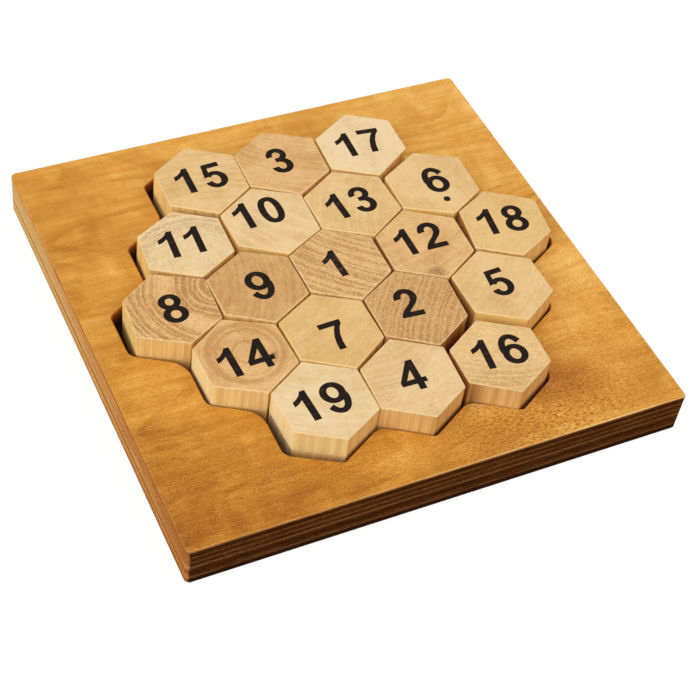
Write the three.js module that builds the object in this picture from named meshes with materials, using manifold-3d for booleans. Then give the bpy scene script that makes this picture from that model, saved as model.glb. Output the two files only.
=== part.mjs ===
// Hexagonal number puzzle: nineteen loose wooden tiles standing in the pocket of a plywood board.
// Millimetres. Origin under the middle of the board, +X along its front edge, +Y to the back, +Z up.
import * as THREE from "three";
import { mergeVertices, toCreasedNormals } from "three/addons/utils/BufferGeometryUtils.js";
import Module from "manifold-3d";

const wasm = await Module();
wasm.setup();

// The board
const BOARD_WIDTH = 194;
const BOARD_DEPTH = 190;
const BOARD_THICKNESS = 18;
const BOARD_CORNER_RADIUS = 2;
const BOARD_EDGE_EASE = 0.8;

// The pocket milled into its top, the outline of all the cells
const POCKET_DEPTH = 9;
const POCKET_SHIFT_RIGHT = 1.8;
const POCKET_SHIFT_BACK = 1.2;
const POCKET_CORNER_RADIUS = 3;
const POCKET_TOOTH_RADIUS = 6;
const POCKET_RIM_EASE = 0.5;

// The cells, and the tiles that stand in them with some play
const CELL_PITCH = 35;
const TILE_PLAY = 1.7;
const TILE_HEIGHT = 18.4;
const TILE_CORNER_RADIUS = 0.6;
const TILE_EDGE_EASE = 0.6;

// Sizes that follow from those above
const TILE_ACROSS_FLATS = CELL_PITCH - TILE_PLAY;
const TILE_RADIUS = TILE_ACROSS_FLATS / Math.sqrt(3);
const CELL_RADIUS = CELL_PITCH / Math.sqrt(3);
const POCKET_FLOOR = BOARD_THICKNESS - POCKET_DEPTH;

// The rows of tiles from the back to the front, each from left to right.
// A tile lies off the middle of its cell: to the right, to the back and turned to the left,
// each as a share of the play.
const ROWS = [
  [
    { number: 15, right: 0.7, back: -1.7, turn: -0.1, wood: "pale" },
    { number: 3, right: 0.0, back: -2.0, turn: -0.1, wood: "brown" },
    { number: 17, right: -0.5, back: -2.0, turn: -0.1, wood: "pale" },
  ],
  [
    { number: 11, right: 0.4, back: -1.2, turn: -0.3, wood: "pale" },
    { number: 10, right: 0.1, back: -1.2, turn: -0.1, wood: "pale" },
    { number: 13, right: -0.5, back: -1.6, turn: 0.2, wood: "warm" },
    { number: 6, right: -0.7, back: -1.3, turn: -0.1, wood: "warm" },
  ],
  [
    { number: 8, right: 0.8, back: -0.8, turn: 0.1, wood: "warm" },
    { number: 9, right: 0.0, back: -0.7, turn: 0.0, wood: "brown" },
    { number: 1, right: -0.7, back: -0.7, turn: -0.1, wood: "brown" },
    { number: 12, right: -0.9, back: -1.1, turn: -0.1, wood: "warm" },
    { number: 18, right: -1.0, back: -0.7, turn: -0.4, wood: "warm" },
  ],
  [
    { number: 14, right: 0.3, back: -0.3, turn: 0.3, wood: "brown" },
    { number: 7, right: -0.3, back: -0.1, turn: 0.1, wood: "warm" },
    { number: 2, right: -1.0, back: -0.2, turn: -0.2, wood: "brown" },
    { number: 5, right: -0.6, back: -0.5, turn: 0.0, wood: "pale" },
  ],
  [
    { number: 19, right: 0.3, back: 0.3, turn: 0.1, wood: "pale" },
    { number: 4, right: -0.2, back: 0.0, turn: -0.1, wood: "pale" },
    { number: 16, right: -0.5, back: 0.0, turn: -0.1, wood: "pale" },
  ],
];

// Finishes
const BOARD_COLOUR = 0xd39a4a;
const TILE_COLOURS = { pale: 0xe6cfa4, warm: 0xdcbb86, brown: 0xcaa06a };
const BOARD_ROUGHNESS = 0.45;
const TILE_ROUGHNESS = 0.7;
const CREASE_ANGLE = Math.PI / 5;

// Corners of a hexagon with flats to the left and right, anticlockwise from the right,
// in steps of half its width across the flats and half its radius
const HEXAGON_STEPS = Array.from({ length: 6 }, (unused, i) => {
  const angle = Math.PI / 6 + (i * Math.PI) / 3;
  return [Math.round(Math.cos(angle) / Math.cos(Math.PI / 6)), Math.round(2 * Math.sin(angle))];
});

// Steps from the middle of the pocket to the middle of the cell at a place in a row
function cellSteps(row, place) {
  return [2 * place - (ROWS[row].length - 1), 3 * ((ROWS.length - 1) / 2 - row)];
}

// The point so many steps across and back from the middle of the pocket
function cellPoint([across, back]) {
  const x = (across * CELL_PITCH) / 2 + POCKET_SHIFT_RIGHT;
  const y = (back * CELL_RADIUS) / 2 + POCKET_SHIFT_BACK;
  return new THREE.Vector2(x, y);
}

// Closed shape from corners taken anticlockwise, with one radius outwards and another inwards
function roundedShape(corners, outwardRadius, inwardRadius) {
  const shape = new THREE.Shape();
  const count = corners.length;
  for (let i = 0; i < count; i += 1) {
    const corner = corners[i];
    const toLast = corners[(i + count - 1) % count].clone().sub(corner).normalize();
    const toNext = corners[(i + 1) % count].clone().sub(corner).normalize();
    const outward = toNext.cross(toLast) > 0;
    const radius = outward ? outwardRadius : inwardRadius;
    const half = Math.acos(toLast.dot(toNext)) / 2;
    const middle = toLast.clone().add(toNext).normalize();
    const centre = corner.clone().addScaledVector(middle, radius / Math.sin(half));
    const start = corner.clone().addScaledVector(toLast, radius / Math.tan(half)).sub(centre);
    const end = corner.clone().addScaledVector(toNext, radius / Math.tan(half)).sub(centre);
    if (i === 0) {
      shape.moveTo(centre.x + start.x, centre.y + start.y);
    } else {
      shape.lineTo(centre.x + start.x, centre.y + start.y);
    }
    shape.absarc(centre.x, centre.y, radius, start.angle(), end.angle(), !outward);
  }
  shape.closePath();
  return shape;
}

// Corners of the outline around all the cells: the cell sides that only one cell has, end to end
function pocketCorners() {
  const sides = new Map();
  ROWS.forEach((row, r) => {
    row.forEach((tile, place) => {
      const [across, back] = cellSteps(r, place);
      const corners = HEXAGON_STEPS.map(([a, b]) => [across + a, back + b]);
      corners.forEach((from, i) => {
        const to = corners[(i + 1) % corners.length];
        const shared = `${to} to ${from}`;
        if (!sides.delete(shared)) {
          sides.set(`${from} to ${to}`, { from, to });
        }
      });
    });
  });
  const startingAt = new Map();
  for (const side of sides.values()) {
    startingAt.set(String(side.from), side);
  }
  const outline = [];
  let side = sides.values().next().value;
  while (outline.length < sides.size) {
    outline.push(cellPoint(side.from));
    side = startingAt.get(String(side.to));
  }
  return outline;
}

// A prism on a shape between two heights, with eased top and bottom edges where asked
function prism(shape, low, high, ease, arcSteps) {
  const geometry = new THREE.ExtrudeGeometry(shape, {
    depth: high - low - 2 * ease,
    curveSegments: arcSteps,
    bevelEnabled: ease > 0,
    bevelThickness: ease,
    bevelSize: ease,
    bevelOffset: -ease,
    bevelSegments: 2,
  });
  geometry.translate(0, 0, low + ease);
  return geometry;
}

// Solid from a geometry, and back
function solid(geometry) {
  const bare = geometry.clone();
  bare.deleteAttribute("normal");
  bare.deleteAttribute("uv");
  const merged = mergeVertices(bare, 1e-4);
  const vertProperties = new Float32Array(merged.attributes.position.array);
  const triVerts = new Uint32Array(merged.index.array);
  return new wasm.Manifold(new wasm.Mesh({ numProp: 3, vertProperties, triVerts }));
}

function surface(body) {
  const mesh = body.getMesh();
  const geometry = new THREE.BufferGeometry();
  geometry.setAttribute("position", new THREE.BufferAttribute(new Float32Array(mesh.vertProperties), 3));
  geometry.setIndex(new THREE.BufferAttribute(new Uint32Array(mesh.triVerts), 1));
  return geometry;
}

// A named mesh with its own finish
function finished(name, geometry, color, roughness) {
  const material = new THREE.MeshStandardMaterial({ color, roughness, metalness: 0 });
  const mesh = new THREE.Mesh(toCreasedNormals(geometry, CREASE_ANGLE), material);
  mesh.name = name;
  return mesh;
}

const puzzle = new THREE.Group();
puzzle.name = "hexagonal_number_puzzle";

// The board: a square slab, less the pocket and the pocket's eased rim
const square = [
  new THREE.Vector2(BOARD_WIDTH / 2, -BOARD_DEPTH / 2),
  new THREE.Vector2(BOARD_WIDTH / 2, BOARD_DEPTH / 2),
  new THREE.Vector2(-BOARD_WIDTH / 2, BOARD_DEPTH / 2),
  new THREE.Vector2(-BOARD_WIDTH / 2, -BOARD_DEPTH / 2),
];
const slabShape = roundedShape(square, BOARD_CORNER_RADIUS, BOARD_CORNER_RADIUS);
const slab = solid(prism(slabShape, 0, BOARD_THICKNESS, BOARD_EDGE_EASE, 3));
const pocketShape = roundedShape(pocketCorners(), POCKET_CORNER_RADIUS, POCKET_TOOTH_RADIUS);
const pocket = solid(prism(pocketShape, POCKET_FLOOR, BOARD_THICKNESS + 1, 0, 3));
const flare = new THREE.ExtrudeGeometry(pocketShape, {
  depth: 1,
  curveSegments: 3,
  bevelThickness: POCKET_RIM_EASE,
  bevelSize: POCKET_RIM_EASE,
  bevelSegments: 1,
});
flare.translate(0, 0, BOARD_THICKNESS);
const board = slab.subtract(pocket).subtract(solid(flare));
puzzle.add(finished("board", surface(board), BOARD_COLOUR, BOARD_ROUGHNESS));

// The tiles: one eased hexagonal block each, standing on the pocket's floor
const tileCorners = HEXAGON_STEPS.map(
  ([a, b]) => new THREE.Vector2((a * TILE_ACROSS_FLATS) / 2, (b * TILE_RADIUS) / 2),
);
const tileShape = roundedShape(tileCorners, TILE_CORNER_RADIUS, TILE_CORNER_RADIUS);
const block = surface(solid(prism(tileShape, 0, TILE_HEIGHT, TILE_EDGE_EASE, 1)));
ROWS.forEach((row, r) => {
  row.forEach((tile, place) => {
    const name = `tile_${String(tile.number).padStart(2, "0")}`;
    const mesh = finished(name, block, TILE_COLOURS[tile.wood], TILE_ROUGHNESS);
    const middle = cellPoint(cellSteps(r, place));
    mesh.position.x = middle.x + tile.right * TILE_PLAY;
    mesh.position.y = middle.y + tile.back * TILE_PLAY;
    mesh.position.z = POCKET_FLOOR;
    mesh.rotation.z = (tile.turn * TILE_PLAY) / TILE_RADIUS;
    puzzle.add(mesh);
  });
});

export default puzzle;
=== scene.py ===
import math

import bmesh
import bpy
from mathutils import Matrix, Vector, noise
from mathutils.geometry import delaunay_2d_cdt


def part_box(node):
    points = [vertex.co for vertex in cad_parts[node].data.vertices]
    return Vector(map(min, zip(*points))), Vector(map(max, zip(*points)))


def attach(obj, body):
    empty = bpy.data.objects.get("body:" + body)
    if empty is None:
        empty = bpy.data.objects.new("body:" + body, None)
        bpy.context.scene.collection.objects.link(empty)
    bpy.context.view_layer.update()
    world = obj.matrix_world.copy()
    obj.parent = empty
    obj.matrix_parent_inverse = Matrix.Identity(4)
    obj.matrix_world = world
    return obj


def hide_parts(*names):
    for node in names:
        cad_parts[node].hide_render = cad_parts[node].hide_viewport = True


# The hexagonal number puzzle: a stained plywood board with a milled pocket and nineteen loose numbered blocks
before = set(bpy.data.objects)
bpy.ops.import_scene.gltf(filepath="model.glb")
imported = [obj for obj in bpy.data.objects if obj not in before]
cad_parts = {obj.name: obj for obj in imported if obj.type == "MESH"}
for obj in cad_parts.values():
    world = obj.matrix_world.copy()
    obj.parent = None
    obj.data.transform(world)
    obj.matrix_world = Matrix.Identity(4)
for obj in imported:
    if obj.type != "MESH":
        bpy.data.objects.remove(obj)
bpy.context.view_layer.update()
MM = 0.001

# Sizes in millimetres, as in the solids
BOARD_THICKNESS = 18.0
BOARD_CORNER_RADIUS = 2.0
BOARD_EDGE_EASE = 0.8
POCKET_FLOOR = 9.0
POCKET_SHIFT_RIGHT = 1.8
POCKET_SHIFT_BACK = 1.2
POCKET_CORNER_RADIUS = 3.0
POCKET_TOOTH_RADIUS = 6.0
POCKET_RIM_EASE = 0.5
CELL_PITCH = 35.0
TILE_PLAY = 1.7
TILE_HEIGHT = 18.4
TILE_EDGE_EASE = 0.6
TILE_RADIUS = (CELL_PITCH - TILE_PLAY) / math.sqrt(3)

# Finer sizes in millimetres, as the photograph shows them
TILE_CORNER_RADIUS = 0.9
WORN_TOOTH_RADIUS = 10.0
WORN_CORNER_RADIUS = 5.0
FRONT_CORNER_RADIUS = 2.0
DIGIT_HEIGHT = 13.7
INK_RISE = 0.03
PLIES = 13

# Where the pocket's teeth and corners are worn or sharper, in millimetres from the board's middle
WORN_TEETH_LEFT_OF = -20.0
WORN_CORNERS_LEFT_OF = -10.0
WORN_CORNERS_RIGHT_OF = 50.0
SHARP_CORNERS_BEFORE = -75.0

# Corners of the pocket's border, counted in half cells, and their shift to the right and back in millimetres
WALL_MOVED = {
    (-3, -5): (-1.0, 0.6), (-3, -7): (-1.0, 0.6), (-2, -8): (0.0, 0.6), (-1, -7): (0.0, 0.6),
    (5, 1): (0.3, 0.0), (5, -1): (0.3, 0.0),
}

# A dark lip in the pocket's wall, painted shade that narrows the gap by the tiles: how far it stands in, and
# how far below the board's top
SHADE_LIP = ((0.12, 0.7), (0.35, 0.9), (0.35, 1.5), (0.0, 2.0))

# How finely outlines and eased edges are stepped, angles in degrees, and how many steps show the veneer
BOARD_CORNER_STEPS = 8
TILE_CORNER_STEPS = 3
TILE_SIDE_STEPS = 12
DIGIT_STEPS = 24
BOARD_EASE_ANGLES = (90, 67.5, 45, 22.5, 0)
TILE_EASE_ANGLES = (90, 60, 30, 0)
VENEER_STEPS = 2

# How the tiles' easing varies along their edges: waves in a millimetre, seed, least share and spread
EASE_WAVES, EASE_SEED, EASE_LEAST, EASE_SPREAD = 0.5, 7.3, 0.55, 0.6

# How worn the edges are, and how strongly flat faces stay flat beside eased edges
BOARD_WEAR, RIM_WEAR, TILE_WEAR = 0.9, 0.5, 0.8
FLATS_WEIGHT = 90

# The numbers as they lie, rows from the back, and each tile's turn as a share of its play
ROWS = ((15, 3, 17), (11, 10, 13, 6), (8, 9, 1, 12, 18), (14, 7, 2, 5), (19, 4, 16))
TURN = {
    15: -0.1, 3: -0.1, 17: -0.1, 11: -0.3, 10: -0.1, 13: 0.2, 6: -0.1, 8: 0.1, 9: 0.0, 1: -0.1,
    12: -0.1, 18: -0.4, 14: 0.3, 7: 0.1, 2: -0.2, 5: 0.0, 19: 0.1, 4: -0.1, 16: -0.1,
}

# Camera read from the photograph's edges: place in metres, lens and sensor in millimetres
CAMERA_PLACE = (-0.219013, -0.373676, 0.460721)
CAMERA_RIGHT = (0.903303, -0.416978, 0.100858)
CAMERA_DOWN = (-0.250773, -0.703975, -0.664479)
CAMERA_LENS = 86.10
SENSOR_WIDTH = 36.0
IMAGE_SIZE = 689

# Corners of each tile's top in the photograph, in pixels:
# back, right back, right front, front, left front, left back
SEEN = {
    15: ((184.6, 147.8), (233.1, 154.8), (249.8, 186.5), (220.0, 213.5), (170.6, 205.6), (153.5, 173.1)),
    11: ((171.3, 211.3), (218.5, 217.8), (235.0, 250.3), (203.1, 276.5), (150.3, 270.3), (136.9, 236.3)),
    3: ((261.3, 131.9), (313.4, 137.5), (329.8, 169.4), (301.7, 193.5), (250.0, 185.8), (234.1, 155.6)),
    17: ((344.4, 114.0), (387.5, 118.8), (406.3, 147.8), (380.0, 174.8), (331.3, 169.4), (315.6, 138.8)),
    10: ((250.6, 188.0), (300.9, 193.4), (320.7, 228.3), (289.4, 253.5), (238.8, 245.6), (220.0, 215.0)),
    13: ((331.9, 171.3), (378.8, 176.3), (401.9, 207.5), (375.0, 235.3), (322.9, 228.4), (303.6, 196.9)),
    6: ((413.1, 152.5), (460.6, 156.9), (480.9, 190.8), (457.5, 213.1), (403.8, 207.8), (384.8, 176.9)),
    12: ((403.1, 209.4), (455.0, 217.5), (474.4, 249.8), (449.4, 277.5), (394.9, 269.8), (375.4, 236.4)),
    18: ((483.8, 190.3), (535.1, 198.9), (551.4, 230.8), (524.4, 254.8), (475.6, 247.5), (458.8, 211.2)),
    8: ((150.6, 273.8), (205.6, 278.5), (223.1, 317.5), (191.3, 343.1), (136.5, 337.2), (122.3, 300.6)),
    9: ((240.6, 251.0), (287.5, 256.0), (309.4, 292.5), (276.3, 321.9), (225.0, 314.4), (206.0, 279.4)),
    1: ((321.3, 228.8), (370.5, 235.6), (391.8, 269.8), (363.1, 298.8), (310.6, 291.3), (288.1, 255.6)),
    7: ((311.3, 294.0), (361.3, 300.0), (384.4, 336.3), (356.9, 368.1), (300.6, 359.4), (277.5, 323.1)),
    2: ((393.8, 270.6), (448.8, 278.1), (468.1, 315.0), (441.3, 345.0), (385.6, 335.6), (363.8, 299.4)),
    5: ((476.3, 250.0), (530.0, 258.1), (553.8, 290.0), (529.4, 319.4), (475.0, 311.9), (451.0, 276.3)),
    14: ((221.3, 318.8), (275.6, 323.8), (299.4, 361.3), (268.8, 392.5), (212.5, 386.3), (191.9, 348.8)),
    19: ((301.3, 359.8), (357.5, 368.5), (380.6, 408.1), (348.8, 439.4), (293.8, 431.9), (270.6, 393.1)),
    4: ((388.8, 338.3), (443.8, 346.3), (466.0, 386.3), (437.5, 416.9), (381.3, 408.1), (360.0, 368.8)),
    16: ((474.4, 321.3), (530.8, 327.6), (551.6, 360.4), (523.1, 391.9), (468.1, 382.5), (449.4, 349.4)),
}

# How far a tile's side may stand in or out from the true hexagon, in millimetres
MOST_CUT = 2.4
MOST_GROWN = 0.34
GROWN_MORE = {18: 0.9}

# Soft patches in the veneer: middle in the photograph in pixels, reach in millimetres, and strength
BLOTCHES = (
    ((566.0, 379.0), 16.0, 1.05), ((502.0, 436.0), 26.0, 0.5), ((640.0, 388.0), 12.0, 0.3),
    ((312.0, 124.0), 12.0, 0.25),
)
FLECKED = (((530.0, 428.0), 48.0, 0.8), ((590.0, 385.0), 30.0, 0.3))
PATCH_STRETCH = (0.7, 1.0, 0.0)

# Patches that are lighter, or darker where the strength is below nought
LIGHT_PATCHES = (
    ((530.0, 424.0), 40.0, 0.22), ((102.0, 330.0), 20.0, 0.4), ((158.0, 381.0), 23.0, 0.42),
    ((238.0, 428.0), 26.0, 0.3), ((562.0, 264.0), 18.0, 0.35), ((375.0, 455.0), 16.0, 0.2),
    ((216.0, 152.0), 18.0, 0.25), ((484.0, 410.0), 11.0, 0.4), ((190.0, 482.0), 14.0, 0.08),
    ((231.0, 525.0), 12.0, 0.2), ((92.0, 236.0), 16.0, -0.2), ((455.0, 118.0), 30.0, -0.12),
    ((570.0, 312.0), 20.0, 0.12), ((118.0, 275.0), 16.0, 0.25), ((592.0, 346.0), 18.0, 0.06),
    ((124.0, 186.0), 16.0, 0.2), ((120.0, 300.0), 12.0, 0.15), ((212.0, 462.0), 16.0, -0.14),
    ((606.0, 372.0), 10.0, 0.14),
)


def tone(red, green, blue):
    """A colour written in the photograph's own 0 to 255 values, as the shader takes it."""
    def linear(value):
        value /= 255
        return value / 12.92 if value <= 0.04045 else ((value + 0.055) / 1.055) ** 2.4
    return (linear(red), linear(green), linear(blue), 1.0)


# Outlines


def rounded(corners, outward, inward, steps):
    """A closed outline, anticlockwise, with each corner rounded by its own radius outward or inward."""
    loop = []
    for index, corner in enumerate(corners):
        before = (Vector(corners[index - 1]) - Vector(corner)).normalized()
        after = (Vector(corners[(index + 1) % len(corners)]) - Vector(corner)).normalized()
        radius = inward(corner) if before.cross(after) > 0 else outward(corner)
        half = before.angle(after) / 2
        middle = Vector(corner) + (before + after).normalized() * (radius / math.sin(half))
        first = Vector(corner) + before * (radius / math.tan(half)) - middle
        last = Vector(corner) + after * (radius / math.tan(half)) - middle
        sweep = first.angle_signed(last)
        for step in range(steps + 1):
            loop.append(middle + Matrix.Rotation(-sweep * step / steps, 2) @ first)
    return loop


def moved(loop, distance):
    """The outline moved outward by a distance."""
    out = []
    for index, point in enumerate(loop):
        ahead = loop[(index + 1) % len(loop)] - loop[index - 1]
        ahead.normalize()
        out.append(point + Vector((ahead.y, -ahead.x)) * distance)
    return out


def pocket_outline(steps):
    """The outer border of the nineteen cells, anticlockwise."""
    radius = CELL_PITCH / math.sqrt(3)
    edges = {}
    for row, names in enumerate(ROWS):
        for place in range(len(names)):
            middle_x = 2 * place - (len(names) - 1)
            middle_y = 3 * (2 - row)
            ring = [(0, 2), (-1, 1), (-1, -1), (0, -2), (1, -1), (1, 1)]
            ring = [(middle_x + x, middle_y + y) for x, y in ring]
            for index in range(6):
                edges[(ring[index], ring[(index + 1) % 6])] = True
    border = {a: b for a, b in edges if (b, a) not in edges}
    start = point = min(border)
    corners = []
    while True:
        right, back = WALL_MOVED.get(point, (0.0, 0.0))
        corners.append((
            point[0] * CELL_PITCH / 2 + POCKET_SHIFT_RIGHT + right,
            point[1] * radius / 2 + POCKET_SHIFT_BACK + back,
        ))
        point = border[point]
        if point == start:
            break

    def tooth(corner):
        """Radius where a tooth points in: the two at the front left are worn rounder."""
        worn = corner[1] < 0 and corner[0] < WORN_TEETH_LEFT_OF
        return WORN_TOOTH_RADIUS if worn else POCKET_TOOTH_RADIUS

    def turn(corner):
        """Radius where the border turns outward: worn at the front left and right, sharper foremost."""
        if corner[1] < SHARP_CORNERS_BEFORE:
            return FRONT_CORNER_RADIUS
        worn = corner[1] < 0 and (corner[0] < WORN_CORNERS_LEFT_OF or corner[0] > WORN_CORNERS_RIGHT_OF)
        return WORN_CORNER_RADIUS if worn else POCKET_CORNER_RADIUS

    return rounded(corners, turn, tooth, steps)


def seen_at(pixel, height):
    """Where the line of sight through a pixel meets a level plane, in metres."""
    right, down = Vector(CAMERA_RIGHT), Vector(CAMERA_DOWN)
    ahead = right.cross(down)
    focus = CAMERA_LENS / SENSOR_WIDTH * IMAGE_SIZE
    sight = right * (pixel[0] - IMAGE_SIZE / 2) + down * (pixel[1] - IMAGE_SIZE / 2) + ahead * focus
    start = Vector(CAMERA_PLACE)
    return start + sight * ((height - start.z) / sight.z)


def sawn_corners(number, middle, turn, height):
    """The tile's true hexagon with each side moved as the photograph shows, anticlockwise from the front."""
    back = Matrix.Rotation(-turn, 2)
    seen = [back @ ((seen_at(pixel, height) - middle).xy / MM) for pixel in SEEN[number]]
    order = (3, 2, 1, 0, 5, 4)
    seen = [seen[index] for index in order]
    most = GROWN_MORE.get(number, MOST_GROWN)
    lines = []
    for index in range(6):
        across = math.radians(60 * index - 60)
        outward = Vector((math.cos(across), math.sin(across)))
        ends = []
        for step in (index, index + 1):
            angle = math.radians(60 * step - 90)
            true = Vector((math.cos(angle), math.sin(angle))) * TILE_RADIUS
            cut = (true - seen[step % 6]).dot(outward)
            ends.append(true - outward * min(max(cut, -most), MOST_CUT))
        lines.append(ends)
    corners = []
    for index in range(6):
        (a, b), (c, d) = lines[index - 1], lines[index]
        one, two = b - a, d - c
        share = (c - a).cross(two) / one.cross(two)
        corners.append(tuple(a + one * share))
    return corners


# Mesh making


def ring_of(bm, loop, height, layer=None, wear=0.0):
    """A ring of corners at one height, in millimetres, with how worn it is."""
    ring = [bm.verts.new((point.x * MM, point.y * MM, height * MM)) for point in loop]
    if layer is not None:
        for vert in ring:
            vert[layer] = wear
    return ring


def skin(bm, low, high, material=0, inward=False):
    """Faces between two rings of an anticlockwise outline, facing outward or inward."""
    for index in range(len(low)):
        after = (index + 1) % len(low)
        sides = [low[after], high[after], high[index]]
        if inward:
            sides.reverse()
        face = bm.faces.new((low[index], *sides))
        face.material_index = material


def piece(name, bm, materials):
    """A finished object from a mesh in the making, smooth but for its flats."""
    mesh = bpy.data.meshes.new(name)
    for face in bm.faces:
        face.smooth = True
    bm.to_mesh(mesh)
    bm.free()
    for material in materials:
        mesh.materials.append(material)
    obj = bpy.data.objects.new(name, mesh)
    bpy.context.scene.collection.objects.link(obj)
    flats = obj.modifiers.new("flats", "WEIGHTED_NORMAL")
    flats.weight = FLATS_WEIGHT
    flats.keep_sharp = True
    return obj


# Material making


class Nodes:
    """Builds the nodes of one material, or of the room."""

    def __init__(self, name, kind=bpy.data.materials):
        self.owner = kind.new(name)
        self.owner.use_nodes = True
        self.tree = self.owner.node_tree
        self.tree.nodes.clear()

    def add(self, kind, inputs, **settings):
        """A node with its settings, its inputs set or linked."""
        node = self.tree.nodes.new(kind)
        for key, value in settings.items():
            setattr(node, key, value)
        for key, value in inputs.items():
            if isinstance(value, bpy.types.NodeSocket):
                self.tree.links.new(value, node.inputs[key])
            else:
                node.inputs[key].default_value = value
        return node

    def math(self, operation, first, second=0.0, third=0.0, clamp=False):
        """Arithmetic on single values."""
        inputs = {0: first, 1: second, 2: third}
        return self.add("ShaderNodeMath", inputs, operation=operation, use_clamp=clamp).outputs[0]

    def vector(self, operation, first, second=(0.0, 0.0, 0.0)):
        """Arithmetic on vectors."""
        return self.add("ShaderNodeVectorMath", {0: first, 1: second}, operation=operation).outputs[0]

    def split(self, vector):
        """The three parts of a vector."""
        return self.add("ShaderNodeSeparateXYZ", {0: vector}).outputs

    def join(self, x, y, z):
        """A vector from its three parts."""
        return self.add("ShaderNodeCombineXYZ", {0: x, 1: y, 2: z}).outputs[0]

    def place(self):
        """The piece's own coordinates in millimetres."""
        coordinate = self.add("ShaderNodeTexCoord", {})
        return self.vector("MULTIPLY", coordinate.outputs["Object"], (1 / MM, 1 / MM, 1 / MM))

    def facing(self):
        """The piece's own surface direction."""
        return self.split(self.add("ShaderNodeTexCoord", {}).outputs["Normal"])

    def noise(self, vector, stretch, detail=2.0, roughness=0.5, distortion=0.0):
        """A noise with its waves in a millimetre along each axis."""
        stretched = self.vector("MULTIPLY", vector, stretch)
        return self.add("ShaderNodeTexNoise", {
            "Vector": stretched, "Scale": 1.0, "Detail": detail,
            "Roughness": roughness, "Distortion": distortion,
        }).outputs["Fac"]

    def wander(self, vector, stretch, amount):
        """The coordinates pushed about by a slow noise."""
        stretched = self.vector("MULTIPLY", vector, stretch)
        inputs = {"Vector": stretched, "Scale": 1.0, "Detail": 2.0}
        cloud = self.add("ShaderNodeTexNoise", inputs).outputs["Color"]
        push = self.vector("MULTIPLY", self.vector("SUBTRACT", cloud, (0.5, 0.5, 0.5)), amount)
        return self.vector("ADD", vector, push)

    def distance(self, vector, spot, stretch=(1.0, 1.0, 1.0)):
        """How far each place is from a spot."""
        apart = self.vector("MULTIPLY", self.vector("SUBTRACT", vector, spot), stretch)
        return self.add("ShaderNodeVectorMath", {0: apart}, operation="LENGTH").outputs["Value"]

    def vary(self, shade, parts):
        """The shade with noises added, each with its weight and about its own middle."""
        for part, weight in parts:
            shade = self.math("ADD", shade, self.math("MULTIPLY_ADD", part, weight, -weight / 2))
        return shade

    def span(self, value, low, high, out_low=0.0, out_high=1.0):
        """A soft step from one value to another."""
        inputs = {"Value": value, "From Min": low, "From Max": high, "To Min": out_low, "To Max": out_high}
        return self.add("ShaderNodeMapRange", inputs, interpolation_type="SMOOTHSTEP").outputs[0]

    def ramp(self, value, stops):
        """A colour from a row of stops."""
        node = self.add("ShaderNodeValToRGB", {"Fac": value})
        elements = node.color_ramp.elements
        while len(elements) < len(stops):
            elements.new(0.5)
        for element, (position, colour) in zip(elements, stops):
            element.position = position
            element.color = colour
        return node.outputs["Color"]

    def mix(self, factor, first, second, blend="MIX"):
        """Two colours mixed, through the colour sockets of the mix node."""
        inputs = {0: factor, 6: first, 7: second}
        return self.add("ShaderNodeMix", inputs, data_type="RGBA", blend_type=blend).outputs[2]

    def attribute(self, name):
        """A value that the mesh holds at each corner."""
        return self.add("ShaderNodeAttribute", {}, attribute_name=name).outputs["Fac"]

    def looked_at(self):
        """One for what is seen or mirrored, nought for light sent on."""
        path = self.add("ShaderNodeLightPath", {}).outputs
        seen = self.math("ADD", path["Is Camera Ray"], path["Is Glossy Ray"], clamp=True)
        return self.math("ADD", seen, path["Is Transmission Ray"], clamp=True)

    def finish(self, colour, roughness, height, bump, depth, **values):
        """The finished material, its relief in millimetres."""
        relief = self.add("ShaderNodeBump", {"Height": height, "Strength": bump, "Distance": depth * MM})
        inputs = {"Base Color": colour, "Roughness": roughness, "Normal": relief.outputs[0]}
        inputs.update({key.replace("_", " "): value for key, value in values.items()})
        surface = self.add("ShaderNodeBsdfPrincipled", inputs)
        self.add("ShaderNodeOutputMaterial", {"Surface": surface.outputs[0]})
        return self.owner


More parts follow.
